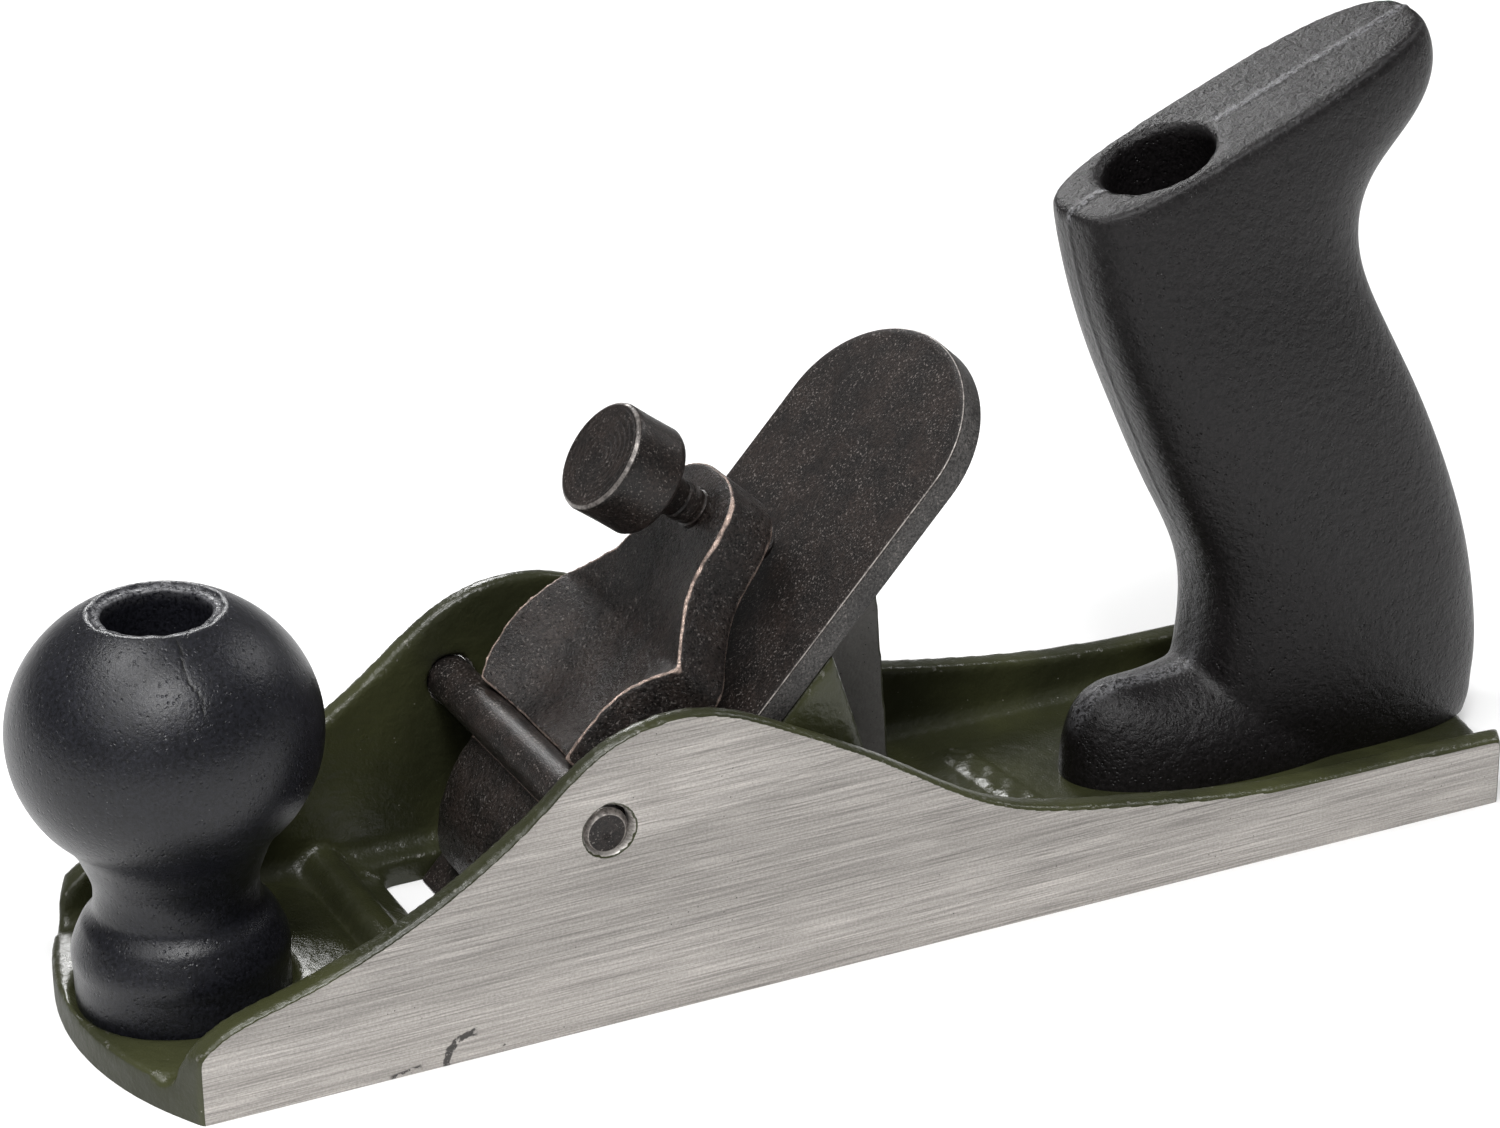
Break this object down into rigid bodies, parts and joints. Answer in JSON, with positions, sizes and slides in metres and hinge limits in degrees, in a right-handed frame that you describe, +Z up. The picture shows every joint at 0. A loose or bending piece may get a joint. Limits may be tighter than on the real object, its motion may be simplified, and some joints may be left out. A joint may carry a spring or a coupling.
{
  "type": "hand plane",
  "caption": "Cast bench plane with a ball knob, an upright pistol handle and a thick iron held by a lever cap with a thumb screw.",
  "frame": {"origin": "centre of the sole's flat underside", "axes": "+X from toe to heel, +Y across to the side away from the knob's near side, +Z up from the sole"},
  "size_m": [0.2349, 0.06, 0.1199],
  "materials": {
    "painted_casting": "gloss paint, ground bright on the sides and sole",
    "dark_steel": "blackened, worn at the edges",
    "bright_steel": "satin",
    "dark_casting": "blackened casting, worn bright on its ridges",
    "black_plastic": "matte, fine grain"
  },
  "bodies": {
    "body": {"body_casting": "painted_casting", "cross_rod": "dark_steel", "front_knob": "black_plastic", "knob_washer": "bright_steel", "knob_bolt": "bright_steel", "rear_handle": "black_plastic", "handle_washer": "bright_steel", "handle_bolt": "bright_steel"},
    "iron": {"plane_iron": "dark_steel"},
    "cap": {"lever_cap": "dark_casting"},
    "stud": {"screw_stud": "dark_steel"},
    "head": {"screw_head": "dark_steel"}
  },
  "joints": [
    {"name": "iron_slide", "type": "slide", "parent": "body", "child": "iron", "axis": [0.6794, 0, 0.7337], "range_m": [-0.0034, 0.01]},
    {"name": "screw_turn", "type": "hinge", "parent": "stud", "child": "head", "pos_m": [-0.01742, 0, 0.06141], "axis": [-0.8007, 0, 0.599], "range_deg": [0, 1440]},
    {"name": "screw_travel", "type": "slide", "parent": "cap", "child": "stud", "axis": [-0.8007, 0, 0.599], "range_m": [0, 0.004]},
    {"name": "cap_tilt", "type": "hinge", "parent": "body", "child": "cap", "pos_m": [-0.04437, 0, 0.02912], "axis": [0, 1, 0], "range_deg": [0, 5.16]}
  ],
  "couplings": [
    {"joint": "screw_travel", "follows": "screw_turn", "m_per_rad": 0.00015915},
    {"joint": "cap_tilt", "follows": "screw_turn", "ratio": 0.003577}
  ]
}
